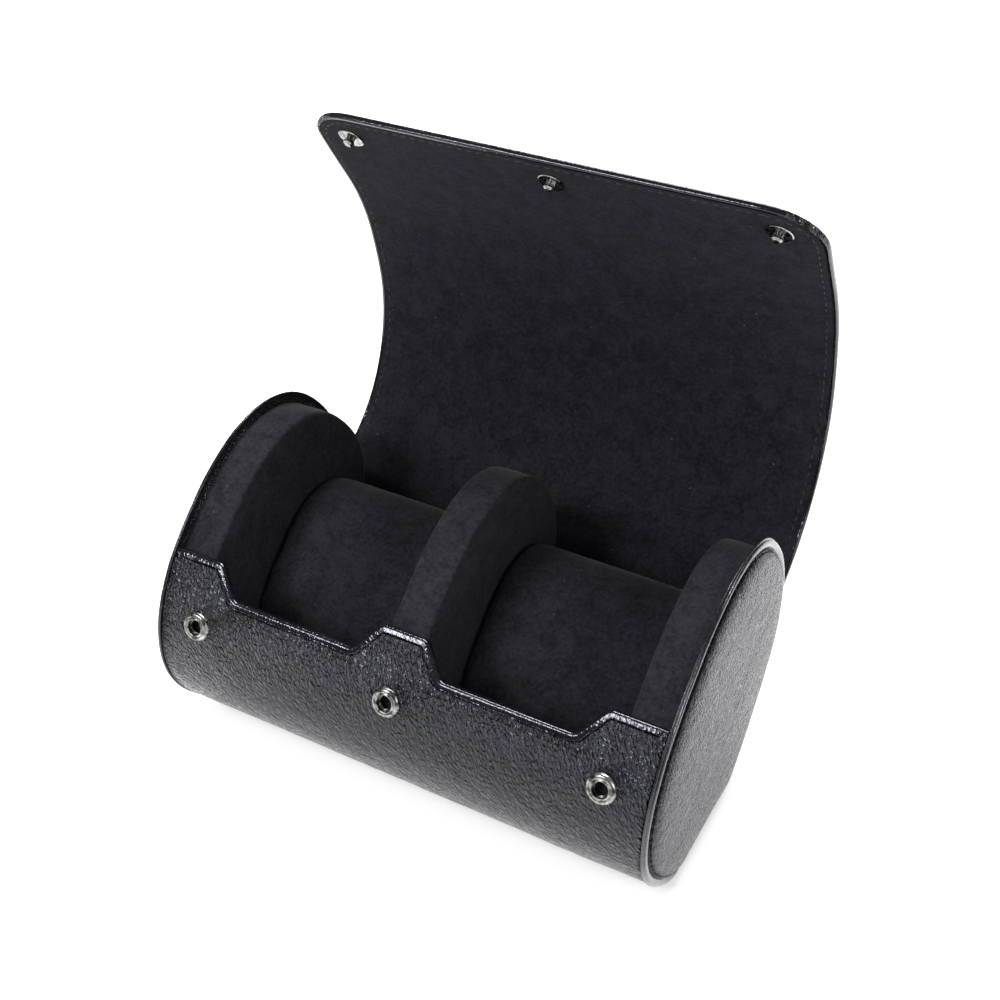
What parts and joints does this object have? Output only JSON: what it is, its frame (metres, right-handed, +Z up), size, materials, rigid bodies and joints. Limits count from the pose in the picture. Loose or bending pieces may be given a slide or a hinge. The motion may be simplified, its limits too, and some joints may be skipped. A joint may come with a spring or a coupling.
{
  "type": "watch travel case",
  "caption": "Leather travel case for wristwatches: a padded roll with oval end walls, bays with lift-out pillows, and a lid that curls over the top and snaps shut at the front.",
  "frame": {"origin": "on the flat base, midway along the case, straight below the centre of its oval section", "axes": "+X along the case to the right, +Y towards the lid's hinge at the back, +Z up"},
  "size_m": [0.1588, 0.1289, 0.1756],
  "materials": {
    "black_leather": "satin",
    "black_suede": "matte",
    "foam": "matte",
    "case_board": "matte",
    "lid_card": "matte",
    "fibreboard": "matte",
    "dark_steel": "satin",
    "bright_steel": "polished"
  },
  "bodies": {
    "case": {"body_leather": "black_leather", "body_board": "case_board", "body_suede": "black_suede", "left_cap_leather": "black_leather", "left_wall_board": "case_board", "left_wall_core": "fibreboard", "left_wall_suede": "black_suede", "right_cap_leather": "black_leather", "right_wall_board": "case_board", "right_wall_core": "fibreboard", "right_wall_suede": "black_suede", "divider_core": "fibreboard", "divider_suede": "black_suede", "snap_sockets": "dark_steel", "socket_eyelets": "dark_steel", "socket_springs": "dark_steel"},
    "left_pillow": {"left_pillow_foam": "foam", "left_pillow_suede": "black_suede", "left_pillow_ends": "black_suede"},
    "right_pillow": {"right_pillow_foam": "foam", "right_pillow_suede": "black_suede", "right_pillow_ends": "black_suede"},
    "lid_back": {"lid_back_leather": "black_leather", "lid_back_board": "lid_card", "lid_back_suede": "black_suede"},
    "lid_top": {"lid_top_leather": "black_leather", "lid_top_board": "lid_card", "lid_top_suede": "black_suede"},
    "lid_front": {"lid_front_leather": "black_leather", "lid_front_board": "lid_card", "lid_front_suede": "black_suede"},
    "flap": {"flap_leather": "black_leather", "flap_board": "lid_card", "flap_suede": "black_suede", "snap_studs": "bright_steel", "stud_rivets": "bright_steel"}
  },
  "joints": [
    {"name": "lid_hinge", "type": "hinge", "parent": "case", "child": "lid_back", "pos_m": [0, 0.04815, 0.04652], "axis": [-1, 0, 0], "range_deg": [-63.95, 15]},
    {"name": "lid_curl", "type": "hinge", "parent": "lid_back", "child": "lid_top", "pos_m": [0, 0.07314, 0.07478], "axis": [-1, 0, 0], "range_deg": [-20.1, 0]},
    {"name": "lid_curl_front", "type": "hinge", "parent": "lid_top", "child": "lid_front", "pos_m": [0, 0.07497, 0.11338], "axis": [-1, 0, 0], "range_deg": [-10.05, 0]},
    {"name": "flap_bend", "type": "hinge", "parent": "lid_front", "child": "flap", "pos_m": [0, 0.05713, 0.15116], "axis": [-1, 0, 0], "range_deg": [-27.6, 0]},
    {"name": "left_pillow_lift", "type": "slide", "parent": "case", "child": "left_pillow", "axis": [0, 0, 1], "range_m": [0, 0.095]},
    {"name": "right_pillow_lift", "type": "slide", "parent": "case", "child": "right_pillow", "axis": [0, 0, 1], "range_m": [0, 0.095]}
  ],
  "couplings": [
    {"joint": "lid_curl_front", "follows": "lid_curl", "ratio": 0.5}
  ]
}
